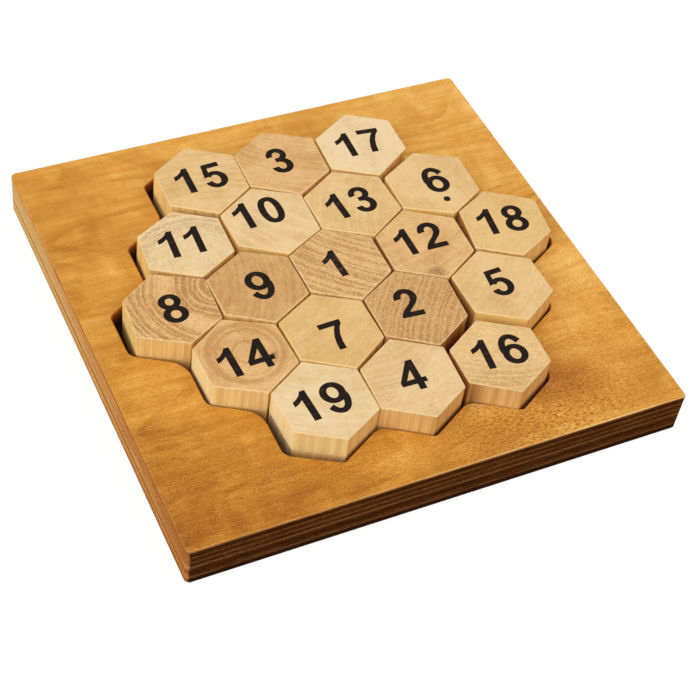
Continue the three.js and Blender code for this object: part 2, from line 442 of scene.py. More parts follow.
def board_face():
    """Honey-stained birch veneer with its grain along the board's width."""
    wood = Nodes("board_face")
    place = wood.place()

    # Figure, from broad clouds to fine pores
    bent = wood.wander(place, (0.02, 0.05, 0.05), (0.0, 7.0, 0.0))
    cloud = wood.noise(bent, (0.012, 0.040, 0.05), 3.0, 0.55, 0.4)
    streak = wood.noise(bent, (0.035, 0.42, 0.3), 4.0, 0.6)
    curl = wood.noise(wood.wander(place, (0.04, 0.04, 0.04), (8.0, 8.0, 0.0)), (0.15, 0.06, 0.1), 2.0, 0.5)
    fibre = wood.noise(bent, (0.35, 1.9, 1.0), 3.0, 0.65)
    speck = wood.noise(bent, (1.5, 2.6, 1.0), 2.0, 0.7)
    pore = wood.span(wood.noise(bent, (0.4, 2.6, 1.0), 1.0, 0.5), 0.58, 0.70)

    # Growth lines
    slow = wood.noise(bent, (0.0055, 0.026, 0.03), 1.0, 0.4)
    within = wood.math("FRACT", wood.math("MULTIPLY", slow, 13.0))
    line = wood.math("MULTIPLY", wood.span(within, 0.45, 0.95), wood.span(within, 1.0, 0.95))
    line = wood.math("MULTIPLY", line, wood.span(curl, 0.38, 0.62))

    # Shade, lighter to the right and the back
    x, y, _ = wood.split(place)
    stain_and_painted_shade = wood.math("ADD", wood.math("MULTIPLY", y, 0.0023), wood.math("MULTIPLY", x, 0.0022))
    shade = wood.vary(wood.math("ADD", stain_and_painted_shade, 0.57), ((cloud, 1.0), (streak, 0.7), (curl, 0.7)))
    fine = wood.vary(0.0, ((fibre, 1.1), (speck, 1.9)))
    fine = wood.math("MULTIPLY", fine, wood.span(x, -60.0, 40.0, 0.72, 1.0))
    shade = wood.math("ADD", shade, wood.math("MULTIPLY", fine, wood.span(y, -50.0, 85.0, 1.1, 0.5)))
    shade = wood.math("SUBTRACT", shade, wood.math("MULTIPLY", line, 0.25))

    def patches(spots):
        """How much of a set of soft patches lies at each place."""
        total = 0.0
        for pixel, reach, strength in spots:
            spot = seen_at(pixel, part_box("board")[1][2]) / MM
            far = wood.distance(bent, tuple(spot), PATCH_STRETCH)
            total = wood.math("ADD", wood.span(far, reach, 1.5, 0.0, strength), total)
        return total

    shade = wood.math("ADD", shade, patches(LIGHT_PATCHES))
    blotch = patches(BLOTCHES)
    fleck = wood.span(wood.noise(bent, (0.55, 1.5, 1.0), 3.0, 0.6), 0.47, 0.62)
    fleck = wood.math("MULTIPLY", fleck, patches(FLECKED))
    grainy = wood.math("ADD", wood.math("MULTIPLY", fibre, 0.45), wood.math("MULTIPLY", speck, 0.3))
    grainy = wood.math("ADD", grainy, wood.math("MULTIPLY", streak, 0.25))
    blotch = wood.math("MULTIPLY", blotch, wood.span(grainy, 0.43, 0.54, 0.25, 1.2))
    shade = wood.math("SUBTRACT", shade, wood.math("MULTIPLY", blotch, 0.35))
    shade = wood.math("MULTIPLY_ADD", shade, 0.7, 0.2, clamp=True)

    # Colour, with blotches, pores, flecks and rubbed edges
    colour = wood.ramp(shade, (
        (0.0, tone(142, 80, 22)), (0.2, tone(168, 101, 30)), (0.41, tone(194, 130, 44)),
        (0.564, tone(211, 145, 54)), (0.725, tone(225, 163, 68)), (0.9, tone(239, 184, 92)),
        (1.0, tone(246, 198, 112)),
    ))
    blotch = wood.math("MULTIPLY", blotch, wood.span(speck, 0.58, 0.42, 0.15, 0.9))
    colour = wood.mix(blotch, colour, tone(152, 76, 32))
    colour = wood.mix(wood.math("MULTIPLY", pore, 0.2), colour, tone(158, 92, 30))
    colour = wood.mix(fleck, colour, tone(160, 92, 28))
    rubbed = wood.span(streak, 0.3, 0.65, 0.2, 0.9)
    rubbed = wood.math("MULTIPLY", rubbed, wood.span(x, -90.0, 60.0, 0.15, 1.0))
    worn = wood.math("MULTIPLY", wood.attribute("wear"), rubbed)
    colour = wood.mix(worn, colour, tone(250, 210, 144))
    roughness = wood.math("MULTIPLY_ADD", fibre, 0.25, 0.35)
    height = wood.math("ADD", wood.math("ADD", fibre, speck), wood.math("MULTIPLY", pore, -0.5))
    return wood.finish(colour, roughness, height, 0.16, 0.08, Specular_IOR_Level=0.15)


def board_edge():
    """The cut plies of the board's four sides."""
    wood = Nodes("board_edge")
    place = wood.place()

    # Plies, with their grain along or across each side
    side = wood.math("ABSOLUTE", wood.facing()[0])
    sideways = wood.span(side, 0.3, 0.7)
    _, y, z = wood.split(wood.wander(place, (0.03, 0.03, 0.2), (0.0, 0.0, 0.9)))
    count = wood.math("DIVIDE", z, BOARD_THICKNESS / PLIES)
    layer = wood.math("FLOOR", count)
    within = wood.math("FRACT", count)
    glue = wood.span(wood.math("ABSOLUTE", wood.math("SUBTRACT", within, 0.5)), 0.40, 0.5)
    parity = wood.math("MODULO", layer, 2.0)
    along = wood.math("ABSOLUTE", wood.math("SUBTRACT", parity, side))
    own = wood.add("ShaderNodeTexWhiteNoise", {"W": layer}, noise_dimensions="1D").outputs["Value"]
    streak = wood.noise(place, (0.07, 0.07, 2.2), 4.0, 0.65)
    speck = wood.noise(place, (1.3, 1.3, 2.4), 2.0, 0.6)
    shade = wood.math("MULTIPLY_ADD", along, -0.30, 0.60)
    shade = wood.vary(shade, ((own, 0.7), (streak, 1.9), (speck, 1.5)))
    # The left and right sides lighter towards the back
    lighter_to_back = wood.math("MULTIPLY", wood.math("MULTIPLY", y, 0.0045), sideways)
    shade = wood.math("ADD", shade, lighter_to_back, clamp=True)

    # Colour of the front and back, painted dark as shade, and of the left and right, painted light
    front = wood.ramp(shade, ((0.0, tone(61, 31, 11)), (0.5, tone(98, 54, 21)), (1.0, tone(142, 92, 48))))
    left = wood.ramp(shade, (
        (0.0, tone(178, 108, 48)), (0.5, tone(242, 173, 96)), (1.0, tone(255, 212, 140)),
    ))
    colour = wood.mix(sideways, front, left)
    dark = wood.mix(sideways, tone(42, 20, 6), tone(148, 86, 38))
    glued = wood.math("MULTIPLY", glue, wood.span(streak, 0.35, 0.6, 0.4, 0.9))
    colour = wood.mix(glued, colour, dark)
    # The front and back darker at the bottom: painted shade
    bottom_shade = wood.math("MULTIPLY", wood.span(z, 5.0, 0.0, 0.0, 0.9), wood.span(side, 0.7, 0.3))
    colour = wood.mix(bottom_shade, colour, tone(40, 24, 14))
    worn = wood.math("MULTIPLY", wood.attribute("wear"), wood.span(streak, 0.3, 0.65, 0.2, 0.8))
    colour = wood.mix(worn, colour, tone(206, 150, 86))
    roughness = wood.math("MULTIPLY_ADD", speck, 0.25, 0.42)
    height = wood.math("SUBTRACT", wood.math("ADD", speck, streak), glue)
    return wood.finish(colour, roughness, height, 0.3, 0.12, Specular_IOR_Level=0.0)


def pocket_face():
    """The bare milled wood of the pocket, with its cutter marks, painted dark with the shade in it and
    lighter towards the board's top.
    """
    wood = Nodes("pocket_face")
    place = wood.place()
    streak = wood.noise(place, (0.05, 0.5, 1.6), 4.0, 0.6)
    speck = wood.noise(place, (1.2, 2.4, 2.4), 2.0, 0.6)
    mark = wood.noise(wood.wander(place, (0.1, 0.1, 0.1), (2.0, 2.0, 0.0)), (0.25, 0.02, 0.3), 2.0, 0.6)
    shade = wood.math("ADD", wood.math("MULTIPLY", streak, 0.6), wood.math("MULTIPLY", speck, 0.3))
    shade = wood.math("ADD", shade, wood.math("MULTIPLY", mark, 0.25), clamp=True)
    colour = wood.ramp(shade, ((0.2, tone(38, 21, 9)), (0.55, tone(64, 37, 17)), (0.9, tone(100, 61, 29))))
    height = wood.split(place)[2]
    # Lighter towards the rim and darker deeper down: painted shade
    colour = wood.mix(wood.span(height, 12.0, 16.5, 0.0, 0.75), colour, tone(190, 120, 54))
    roughness = wood.math("MULTIPLY_ADD", speck, 0.2, 0.6)
    return wood.finish(colour, roughness, wood.math("ADD", speck, mark), 0.3, 0.1, Specular_IOR_Level=0.08)


# The woods of the tiles: light and dark of the ring, and the fine pores' colour
CREAM = (tone(238, 213, 169), tone(221, 190, 138), tone(176, 138, 92))
PALE = (tone(236, 206, 158), tone(218, 182, 128), tone(168, 126, 78))
SAND = (tone(233, 199, 144), tone(215, 174, 114), tone(164, 118, 68))
HONEY = (tone(231, 194, 132), tone(212, 168, 103), tone(160, 112, 60))
TAN = (tone(231, 188, 131), tone(204, 154, 94), tone(148, 98, 52))
BROWN = (tone(219, 173, 116), tone(188, 137, 79), tone(128, 82, 42))

# Each tile's wood: tone, heart of its rings from its middle and ring width in millimetres,
# strength of rings and of pores, waviness, and depth of tone
GRAIN = {
    1: (TAN, (74, 80), 3.1, 0.50, 0.60, 1.6, 0.06),
    2: (BROWN, (94, -70), 2.4, 0.30, 0.55, 1.2, -0.10),
    3: (TAN, (34, 49), 3.0, 0.26, 0.20, 1.0, 0.26),
    4: (PALE, (-10, 59), 2.8, 0.26, 0.10, 3.0, 0.45),
    5: (SAND, (-39, 46), 3.4, 0.20, 0.12, 2.0, 0.20),
    6: (SAND, (60, 4), 5.0, 0.15, 0.05, 1.5, 0.15),
    7: (HONEY, (-30, 52), 6.0, 0.15, 0.05, 2.5, 0.28),
    8: (TAN, (20.5, 4.5), 2.4, 0.85, 0.70, 3.0, 0.08),
    9: (BROWN, (-56, 20), 3.4, 0.20, 0.15, 1.8, 0.10),
    10: (PALE, (46, 38), 6.0, 0.40, 0.06, 4.0, 0.14),
    11: (CREAM, (1, -14), 3.8, 0.35, 0.52, 2.5, 0.36),
    12: (TAN, (-20, 56), 5.0, 0.15, 0.25, 2.0, 0.16),
    13: (SAND, (50, -32), 3.6, 0.22, 0.08, 2.5, 0.28),
    14: (TAN, (0.5, 0.5), 4.1, 0.60, 0.25, 1.4, 0.32),
    15: (SAND, (-12, -58), 3.6, 0.25, 0.12, 2.5, 0.26),
    16: (SAND, (20, 56), 2.6, 0.20, 0.50, 1.5, 0.38),
    17: (CREAM, (-58, 12), 5.0, 0.12, 0.03, 2.0, 0.12),
    18: (HONEY, (40, -44), 5.0, 0.18, 0.06, 2.0, 0.08),
    19: (CREAM, (24, 54), 4.0, 0.22, 0.06, 2.0, 0.36),
}

# Where rings stand out: from and to in millimetres from the heart, how softly, and how strongly
BOLD = {
    1: ((0.0, 300.0, 5.0, 1.0),),
    2: ((0.0, 300.0, 5.0, 1.0),),
    8: ((0.5, 17.0, 2.0, 1.0), (24.0, 48.0, 2.5, 0.75)),
    11: ((19.0, 48.0, 4.0, 1.0),),
    14: ((3.5, 6.5, 1.2, 0.8), (10.5, 14.5, 1.2, 1.0)),
    16: ((65.0, 99.0, 7.0, 1.0),),
}

# Tones of the tiles' sides, of their stains, of the painted light and painted shade on them, and of their
# worn edges
SIDE_DARK, SIDE_LIGHT, SIDE_STREAK = tone(230, 186, 112), tone(248, 214, 146), tone(200, 146, 74)
BROWN_STAIN, DARK_CORNER_SHADE, SCUFF = tone(196, 132, 60), tone(140, 76, 28), tone(96, 58, 40)
PALE_LEFT_LIGHT, LIT_SIDE, RIGHT_SHADE = tone(255, 232, 164), tone(255, 216, 128), tone(206, 138, 52)
LEFT_LIGHT, PALER_LEFT_LIGHT = tone(255, 228, 144), tone(255, 240, 192)
GAP_SHADE = tone(146, 68, 18)
FOOT_SHADE_TINT, FOOT_SHADE_DARK, FOOT_SHADE = tone(204, 122, 46), tone(112, 60, 22), tone(128, 70, 28)
WORN_EDGE = tone(244, 216, 166)

# Tiles with browner sides, and tiles whose left sides get paler painted light, and how strongly
STAINED = {2: 0.6, 4: 0.15, 5: 0.1, 16: 0.25}
PALER_LIT = {14: 0.5, 19: 0.7}

# Tiles whose sides by the gaps get painted shade left or right, or painted light in front, and how strongly
GAP_DARK = {12: 0.75, 16: 0.85, 18: 0.75, 1: 0.3, 2: 0.4, 5: 0.65}
GAP_LIGHT = {5: 0.85, 6: 0.85, 10: 0.4, 13: 0.4, 7: 0.3}
DARK_RIGHT = {2: 0.8}

# Painted shade at the foot by the pocket's rim: heights above the foot where it starts and is full, and where
# it has faded again
FOOT_SHADE_HEIGHTS = (10.3, 9.0)
RIM_SHADE = (12.2, 9.2)
FOOT_SHADE_FADE = (1.0, 8.5)
# How strongly the feet of left sides are painted with shade, for these tiles and for the others
SHADED_LEFT_FOOT = {8: 0.68, 14: 0.55, 19: 0.68, 11: 0.45, 15: 0.35}
SHADED_FOOT_USUALLY = 0.3

# Small marks, a painted shade at one tile's corner by a gap and scuffs: place from the tile's middle and
# reach in millimetres, and strength
GAP_CORNER_SHADE = {16: ((-15.5, -10.5), 6.0, 0.75)}
SCUFFS = {12: ((-2.5, -15.5), 5.0, 0.75), 14: ((9.3, -3.6), 1.7, 0.9)}

# A heart nearer than the first has its angles turned into lengths at the second, in millimetres
HEART_NEAR, HEART_REACH = 20.0, 10.0

# Step from tile to tile through the noise, in millimetres, so that no two look alike
NOISE_STEP = (61.0, 37.0)


def tile_side(wood, number, fibre, broad):
    """The colour of a tile's sides: long grain and stain, with painted light and painted shade by where each
    side faces, and painted shade at the foot.
    """
    long = wood.mix(wood.span(fibre, 0.3, 0.7), SIDE_DARK, SIDE_LIGHT)
    long = wood.mix(wood.span(broad, 0.42, 0.72, 0.0, 0.6), long, SIDE_STREAK)
    if number in STAINED:
        stain_and_painted_shade = wood.span(broad, 0.25, 0.6, STAINED[number] * 0.5, STAINED[number])
        long = wood.mix(stain_and_painted_shade, long, BROWN_STAIN)
    # A dark mark at the tile's corner by the gap: painted shade
    if number in GAP_CORNER_SHADE:
        spot, reach, strength = GAP_CORNER_SHADE[number]
        far = wood.distance(wood.place(), (*spot, 0.0), (1.0, 1.0, 0.0))
        mark = wood.math("MULTIPLY", wood.span(far, reach, 0.5), wood.span(fibre, 0.35, 0.6, 0.3, strength))
        long = wood.mix(mark, long, DARK_CORNER_SHADE)
    turned = wood.facing()[0]
    # Left sides of these tiles paler still: painted light
    if number in PALER_LIT:
        pale_left_light = wood.span(turned, 0.2, -0.2, 0.0, PALER_LIT[number])
        pale_left_light = wood.math("MULTIPLY", pale_left_light, wood.span(broad, 0.6, 0.3, 0.6, 1.0))
        long = wood.mix(pale_left_light, long, PALE_LEFT_LIGHT)

    # The side that faces left: painted light, or painted shade on the tiles by dark gaps
    strength = GAP_DARK.get(number, 0.5 + 0.4 * PALER_LIT.get(number, 0.0))
    left_light = wood.span(turned, -0.6, -0.9, 0.0, strength)
    left_light = wood.math("MULTIPLY", left_light, wood.span(broad, 0.7, 0.3, 0.6, 1.0))
    if number in GAP_DARK:
        left = GAP_SHADE
    else:
        left = PALER_LEFT_LIGHT if number in PALER_LIT else LEFT_LIGHT
    long = wood.mix(left_light, long, left)

    # The side that faces left and front: painted light
    if number in GAP_LIGHT:
        front = wood.span(turned, -0.8, -0.6, 0.0, GAP_LIGHT[number])
        front = wood.math("MULTIPLY", wood.span(turned, -0.2, -0.4), front)
        long = wood.mix(front, long, LIT_SIDE)

    # The sides that face right: painted shade
    right_shade = wood.span(turned, 0.0, 0.4, 0.0, DARK_RIGHT.get(number, 0.2 if number in PALER_LIT else 0.45))
    right_shade = wood.math("MULTIPLY", right_shade, wood.span(broad, 0.3, 0.7, 0.6, 1.0))
    long = wood.mix(right_shade, long, GAP_SHADE if number in DARK_RIGHT else RIGHT_SHADE)

    # The foot where it stands at the pocket's rim: painted shade, a brown tint on most sides, darker on the
    # left sides and darker again on the right
    sunk = wood.math("ADD", wood.split(wood.place())[2], wood.math("MULTIPLY", broad, 2.0))
    fade = wood.span(sunk, *FOOT_SHADE_FADE, 0.2, 1.0)
    foot_shade_mask = wood.math("MULTIPLY", wood.span(sunk, *FOOT_SHADE_HEIGHTS), fade)
    foot_shade_mask = wood.math("MULTIPLY", foot_shade_mask, wood.span(fibre, 0.35, 0.6, 0.5, 1.0))
    stain_and_painted_shade = wood.math("MULTIPLY", foot_shade_mask, wood.span(turned, -0.9, -0.6, 0.0, 0.42))
    long = wood.mix(stain_and_painted_shade, long, FOOT_SHADE_TINT)
    left_foot_shade = wood.span(turned, -0.6, -0.9, 0.0, SHADED_LEFT_FOOT.get(number, SHADED_FOOT_USUALLY))
    long = wood.mix(wood.math("MULTIPLY", foot_shade_mask, left_foot_shade), long, FOOT_SHADE_DARK)
    shaded = wood.math("MULTIPLY", wood.span(sunk, *RIM_SHADE), fade)
    shaded = wood.math("MULTIPLY", shaded, wood.span(turned, 0.2, 0.5, 0.0, 0.5))
    return wood.mix(shaded, long, FOOT_SHADE)


def tile_wood(number):
    """End grain on top and the same rings run down the sides."""
    (light, dark, pore_tone), heart, width, rings, pores, wave, depth = GRAIN[number]
    wood = Nodes("tile_wood_%02d" % number)
    step = (NOISE_STEP[0] * number, NOISE_STEP[1] * number)
    place = wood.vector("ADD", wood.place(), (*step, 0.0))
    shift = (-step[0] - heart[0], -step[1] - heart[1], 0.0)
    bent = wood.vector("ADD", wood.wander(place, (0.09, 0.09, 0.012), (wave, wave, 0.0)), shift)

    # Rings about the heart
    x, y, z = wood.split(bent)
    reach = math.hypot(*heart)
    if reach < HEART_NEAR:
        reach = HEART_REACH
    away = wood.math("SQRT", wood.math("ADD", wood.math("MULTIPLY", x, x), wood.math("MULTIPLY", y, y)))
    arc = wood.math("MULTIPLY", wood.math("ARCTAN2", y, x), reach)
    grown = wood.join(away, arc, z)
    uneven = wood.noise(grown, (0.28, 0.01, 0.003), 2.0, 0.5)
    count = wood.math("ADD", wood.math("DIVIDE", away, width), wood.math("MULTIPLY", uneven, 2.2))
    within = wood.math("FRACT", count)
    late = wood.math("MULTIPLY", wood.span(within, 0.05, 0.5), wood.span(within, 1.0, 0.7))
    patch = wood.noise(place, (0.07, 0.07, 0.02), 2.0, 0.5)
    bold = wood.span(patch, 0.3, 0.65, 0.45, 1.0)
    for index, (start, end, soft, strong) in enumerate(BOLD.get(number, ())):
        there = wood.span(away, start - soft, start + soft, 0.0, strong)
        there = wood.math("MULTIPLY", there, wood.span(away, end + soft, end - soft))
        bold = there if index == 0 else wood.math("ADD", bold, there, clamp=True)

    # Grain and pores
    grainy = wood.noise(grown, (1.9, 1.5, 0.05), 2.0, 0.6)
    hair = wood.noise(grown, (1.2, 0.06, 0.01), 3.0, 0.6)
    fibre = wood.noise(place, (2.4, 2.4, 0.05), 2.0, 0.6)
    broad = wood.noise(place, (0.45, 0.45, 0.012), 3.0, 0.6)
    dot = wood.span(wood.noise(grown, (2.7, 2.2, 0.04), 1.0, 0.5), 0.44, 0.60)
    spots = wood.math("MULTIPLY", dot, wood.math("MULTIPLY_ADD", late, 0.7, 0.3))
    spots = wood.math("MULTIPLY", wood.math("MULTIPLY", spots, bold), pores)
    shade = wood.math("MULTIPLY", wood.math("MULTIPLY", late, bold), rings)
    rough = 0.9 + 1.0 * pores
    mottle = wood.noise(place, (0.3, 0.3, 0.02), 3.0, 0.6)
    shade = wood.vary(shade, ((grainy, rough), (hair, 0.7), (patch, 1.5), (mottle, 1.1)))
    shade = wood.math("ADD", shade, depth, clamp=True)

    # Colour
    colour = wood.mix(shade, light, dark)
    colour = wood.mix(spots, colour, pore_tone)
    coarse = wood.noise(grown, (1.1, 0.45, 0.05), 3.0, 0.7)
    figure = wood.math("ADD", wood.span(coarse, 0.3, 0.7, 0.0, 0.5), wood.span(fibre, 0.3, 0.7, 0.0, 0.5))
    colour = wood.mix(0.13 + 0.35 * pores, colour, figure, "OVERLAY")
    if number in SCUFFS:
        spot, reach, strength = SCUFFS[number]
        far = wood.distance(wood.place(), (*spot, TILE_HEIGHT))
        mark = wood.math("MULTIPLY", wood.span(far, reach, 0.3), wood.span(grainy, 0.35, 0.6, 0.1, strength))
        colour = wood.mix(mark, colour, SCUFF)
    side = wood.span(wood.math("ABSOLUTE", wood.facing()[2]), 0.75, 0.35)
    colour = wood.mix(side, colour, tile_side(wood, number, fibre, broad))
    worn = wood.math("MULTIPLY", wood.attribute("wear"), wood.span(grainy, 0.35, 0.6, 0.4, 1.0))
    colour = wood.mix(worn, colour, WORN_EDGE)
    roughness = wood.math("MULTIPLY_ADD", grainy, 0.2, 0.5)
    height = wood.math("SUBTRACT", grainy, spots)
    return wood.finish(colour, roughness, height, 0.16, 0.1, Specular_IOR_Level=0.16)


def ink(name, wear):
    """Stamped black ink that lets a little of the wood through."""
    wood = Nodes(name)
    place = wood.place()
    thin = wood.noise(place, (0.5, 0.5, 0.5), 3.0, 0.65)
    speck = wood.noise(place, (3.0, 3.0, 1.0), 2.0, 0.6)
    bare = wood.span(thin, 0.6 - wear, 0.8 - wear)
    bare = wood.math("MULTIPLY", bare, wood.span(speck, 0.5 - wear, 0.7 - wear))
    colour = wood.ramp(thin, ((0.25, tone(25, 18, 14)), (0.6, tone(34, 26, 21)), (0.8, tone(50, 39, 31))))
    colour = wood.mix(wood.math("MULTIPLY", bare, 0.6), colour, tone(120, 92, 66))
    roughness = wood.math("MULTIPLY_ADD", speck, 0.25, 0.6)
    return wood.finish(colour, roughness, speck, 0.2, 0.05, Specular_IOR_Level=0.08)


# The board


def make_board():
    """The board with its plies, its eased edges and its pocket."""
    low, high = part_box("board")
    thickness = (high[2] - low[2]) / MM
    half_x = (high[0] - low[0]) / MM / 2
    half_y = (high[1] - low[1]) / MM / 2
    middle = Vector(((high[0] + low[0]) / MM / 2, (high[1] + low[1]) / MM / 2))
    corners = [(-half_x, -half_y), (half_x, -half_y), (half_x, half_y), (-half_x, half_y)]
    steps = BOARD_CORNER_STEPS
    slab = [point + middle for point in rounded(corners, lambda corner: BOARD_CORNER_RADIUS, None, steps)]
    pocket = pocket_outline(steps)
    bm = bmesh.new()
    wear = bm.verts.layers.float.new("wear")
    face, edge, inside = 0, 1, 2

    ease = [(math.sin(math.radians(a)), math.cos(math.radians(a))) for a in BOARD_EASE_ANGLES]
    rings = []
    for out, up in reversed(ease):
        height = BOARD_EDGE_EASE * (1 - up)
        rings.append(ring_of(bm, moved(slab, BOARD_EDGE_EASE * (out - 1)), height, wear, 0.0))
    for out, up in ease:
        height = thickness - BOARD_EDGE_EASE * (1 - up)
        loop = moved(slab, BOARD_EDGE_EASE * (out - 1))
        rings.append(ring_of(bm, loop, height, wear, BOARD_WEAR * up * out * 2))
    veneer = len(rings) - 1 - VENEER_STEPS
    for index in range(len(rings) - 1):
        skin(bm, rings[index], rings[index + 1], face if index >= veneer else edge)
    bottom = bm.faces.new(list(reversed(rings[0])))
    bottom.material_index = face

    rim = []
    for out, up in reversed(ease):
        height = thickness - POCKET_RIM_EASE * (1 - up)
        loop = moved(pocket, POCKET_RIM_EASE * (1 - out))
        rim.append(ring_of(bm, loop, height, wear, RIM_WEAR * up * out * 2))
    # The dark lip stands in for the shade in the gap: painted shade
    lip = [ring_of(bm, moved(pocket, -out), thickness - below) for out, below in SHADE_LIP]
    floor = ring_of(bm, pocket, POCKET_FLOOR)
    wall = rim + lip + [floor]
    for index in range(len(wall) - 1):
        skin(bm, wall[index + 1], wall[index], face if index < len(rim) - 1 else inside, inward=True)
    ground = bm.faces.new(floor)
    ground.material_index = inside

    outer = [bm.edges.get((rings[-1][i - 1], rings[-1][i])) for i in range(len(slab))]
    inner = [bm.edges.get((rim[0][i - 1], rim[0][i])) for i in range(len(pocket))]
    filled = bmesh.ops.triangle_fill(
        bm, edges=outer + inner, use_beauty=True, use_dissolve=False, normal=(0, 0, 1),
    )
    for made in filled["geom"]:
        if isinstance(made, bmesh.types.BMFace):
            made.material_index = face
            if made.normal.z < 0:
                made.normal_flip()
    board = piece("milled_board", bm, (board_face(), board_edge(), pocket_face()))
    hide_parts("board")
    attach(board, "board")


def make_tile(number):
    """One tile in its cell, turned and sawn as the photograph shows it."""
    name = "tile_%02d" % number
    low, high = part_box(name)
    middle = Vector(((low[0] + high[0]) / 2, (low[1] + high[1]) / 2, low[2]))
    turn = TURN[number] * TILE_PLAY / TILE_RADIUS
    corners = sawn_corners(number, middle, turn, high[2])
    steps = TILE_CORNER_STEPS
    coarse = rounded(corners, lambda corner: TILE_CORNER_RADIUS, None, steps)
    outline = []
    for index, point in enumerate(coarse):
        after = coarse[(index + 1) % len(coarse)]
        outline.append(point)
        if index % (steps + 1) == steps:
            outline.extend(point.lerp(after, step / TILE_SIDE_STEPS) for step in range(1, TILE_SIDE_STEPS))
    bm = bmesh.new()
    wear = bm.verts.layers.float.new("wear")

    def eased(height, sign, worn):
        """The rings of one eased edge, top or foot, its size varied along the outline."""
        rings = []
        order = TILE_EASE_ANGLES if sign > 0 else tuple(reversed(TILE_EASE_ANGLES))
        inner = moved(outline, -1.0)
        for angle in order:
            out, up = math.sin(math.radians(angle)), math.cos(math.radians(angle))
            ring = []
            for point, inward in zip(outline, inner):
                spot = (point.x * EASE_WAVES, point.y * EASE_WAVES, number * EASE_SEED + sign)
                size = TILE_EDGE_EASE * (EASE_LEAST + EASE_SPREAD * (0.5 + 0.5 * noise.noise(spot)))
                place = point + (inward - point) * size * (1 - out)
                drop = size * (1 - up)
                vert = bm.verts.new((place.x * MM, place.y * MM, (height - sign * drop) * MM))
                vert[wear] = worn * 2 * up * out
                ring.append(vert)
            rings.append(ring)
        return rings

    rings = eased(0.0, -1, 0.0) + eased(TILE_HEIGHT, 1, TILE_WEAR)
    for index in range(len(rings) - 1):
        skin(bm, rings[index], rings[index + 1])
    bm.faces.new(list(reversed(rings[0])))
    bm.faces.new(rings[-1])
    tile = piece("block_%02d" % number, bm, (tile_wood(number),))
    tile.location = middle
    tile.rotation_euler.z = turn
    bpy.context.view_layer.update()
    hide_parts(name)
    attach(tile, name)
    return tile


# The ten digits in units of their height, as outlines that overlap


def band(x, y, outer, inner, start, end, power=2.0):
    """Part of a ring between two rounds, from one angle to another."""
    ring = []
    there, back = range(DIGIT_STEPS + 1), range(DIGIT_STEPS, -1, -1)
    for (wide, tall), order in ((outer, there), (inner, back)):
        for step in order:
            angle = math.radians(start + (end - start) * step / DIGIT_STEPS)
            c, s = math.cos(angle), math.sin(angle)
            ring.append((
                x + wide * math.copysign(abs(c) ** (2 / power), c),
                y + tall * math.copysign(abs(s) ** (2 / power), s),
            ))
    return ring


def whole(x, y, outer, inner, power=2.0):
    """A full ring, as its two halves."""
    return [band(x, y, outer, inner, 0, 180, power), band(x, y, outer, inner, 180, 360, power)]


SIX_WIDTH = 0.69
SIX = whole(0.345, 0.325, (0.345, 0.345), (0.145, 0.185))
SIX += [band(0.375, 0.5, (0.375, 0.52), (0.175, 0.355), 28, 185)]
EIGHT = whole(0.335, 0.745, (0.305, 0.275), (0.115, 0.125)) + whole(0.335, 0.28, (0.34, 0.30), (0.14, 0.145))
DOT_RADIUS = 0.1
DOT = []
for step in range(DIGIT_STEPS):
    angle = math.radians(360 * step / DIGIT_STEPS)
    DOT.append((DOT_RADIUS + DOT_RADIUS * math.cos(angle), 0.5 + DOT_RADIUS * math.sin(angle)))
DIGITS = {
    "0": (0.67, whole(0.335, 0.5, (0.335, 0.52), (0.135, 0.355), 2.3)),
    "1": (0.50, [[
        (0.30, 0.0), (0.50, 0.0), (0.50, 1.01), (0.355, 1.01), (0.29, 0.90), (0.17, 0.80), (0.04, 0.74),
        (0.04, 0.58), (0.17, 0.635), (0.30, 0.73),
    ]]),
    "2": (0.66, [
        band(0.335, 0.70, (0.325, 0.315), (0.12, 0.15), 0, 188),
        [
            (0.0, 0.0), (0.66, 0.0), (0.66, 0.175), (0.28, 0.175), (0.34, 0.25), (0.54, 0.44), (0.63, 0.57),
            (0.66, 0.70), (0.455, 0.70), (0.44, 0.60), (0.35, 0.47), (0.12, 0.25), (0.03, 0.12),
        ],
    ]),
    "3": (0.64, [
        band(0.31, 0.735, (0.30, 0.28), (0.115, 0.12), -85, 192),
        band(0.315, 0.285, (0.325, 0.31), (0.12, 0.145), -175, 88),
        [(0.21, 0.45), (0.36, 0.45), (0.36, 0.61), (0.21, 0.61)],
    ]),
    "4": (0.72, [
        [(0.41, 0.0), (0.60, 0.0), (0.60, 1.01), (0.41, 1.01)],
        [(0.0, 0.205), (0.72, 0.205), (0.72, 0.37), (0.0, 0.37)],
        [(0.0, 0.35), (0.18, 0.35), (0.43, 0.72), (0.43, 1.01)],
    ]),
    "5": (0.67, [
        [(0.12, 0.815), (0.63, 0.815), (0.63, 0.99), (0.13, 0.99)],
        [(0.035, 0.46), (0.215, 0.49), (0.27, 0.99), (0.13, 0.99)],
        band(0.33, 0.325, (0.34, 0.34), (0.135, 0.185), -170, 142),
    ]),
    "6": (SIX_WIDTH, SIX),
    "7": (0.65, [[
        (0.0, 0.81), (0.44, 0.81), (0.36, 0.68), (0.275, 0.48), (0.22, 0.25), (0.20, 0.0), (0.395, 0.0),
        (0.41, 0.28), (0.455, 0.50), (0.54, 0.70), (0.65, 0.855), (0.65, 0.985), (0.0, 0.985),
    ]]),
    "8": (0.68, EIGHT),
    "9": (SIX_WIDTH, [[(SIX_WIDTH - x, 1 - y) for x, y in ring] for ring in SIX]),
    ".": (2 * DOT_RADIUS, [DOT]),
}

# Tiles whose ink is rubbed thin, and how thin ink is
WORN_INK = (1,)
INK_WEAR, WORN_INK_WEAR = 0.04, 0.13

# How the digits' outlines are filled
INSIDE_RINGS = 1
DIGIT_PRECISION = 1e-4
DIGIT_CREASE = 40

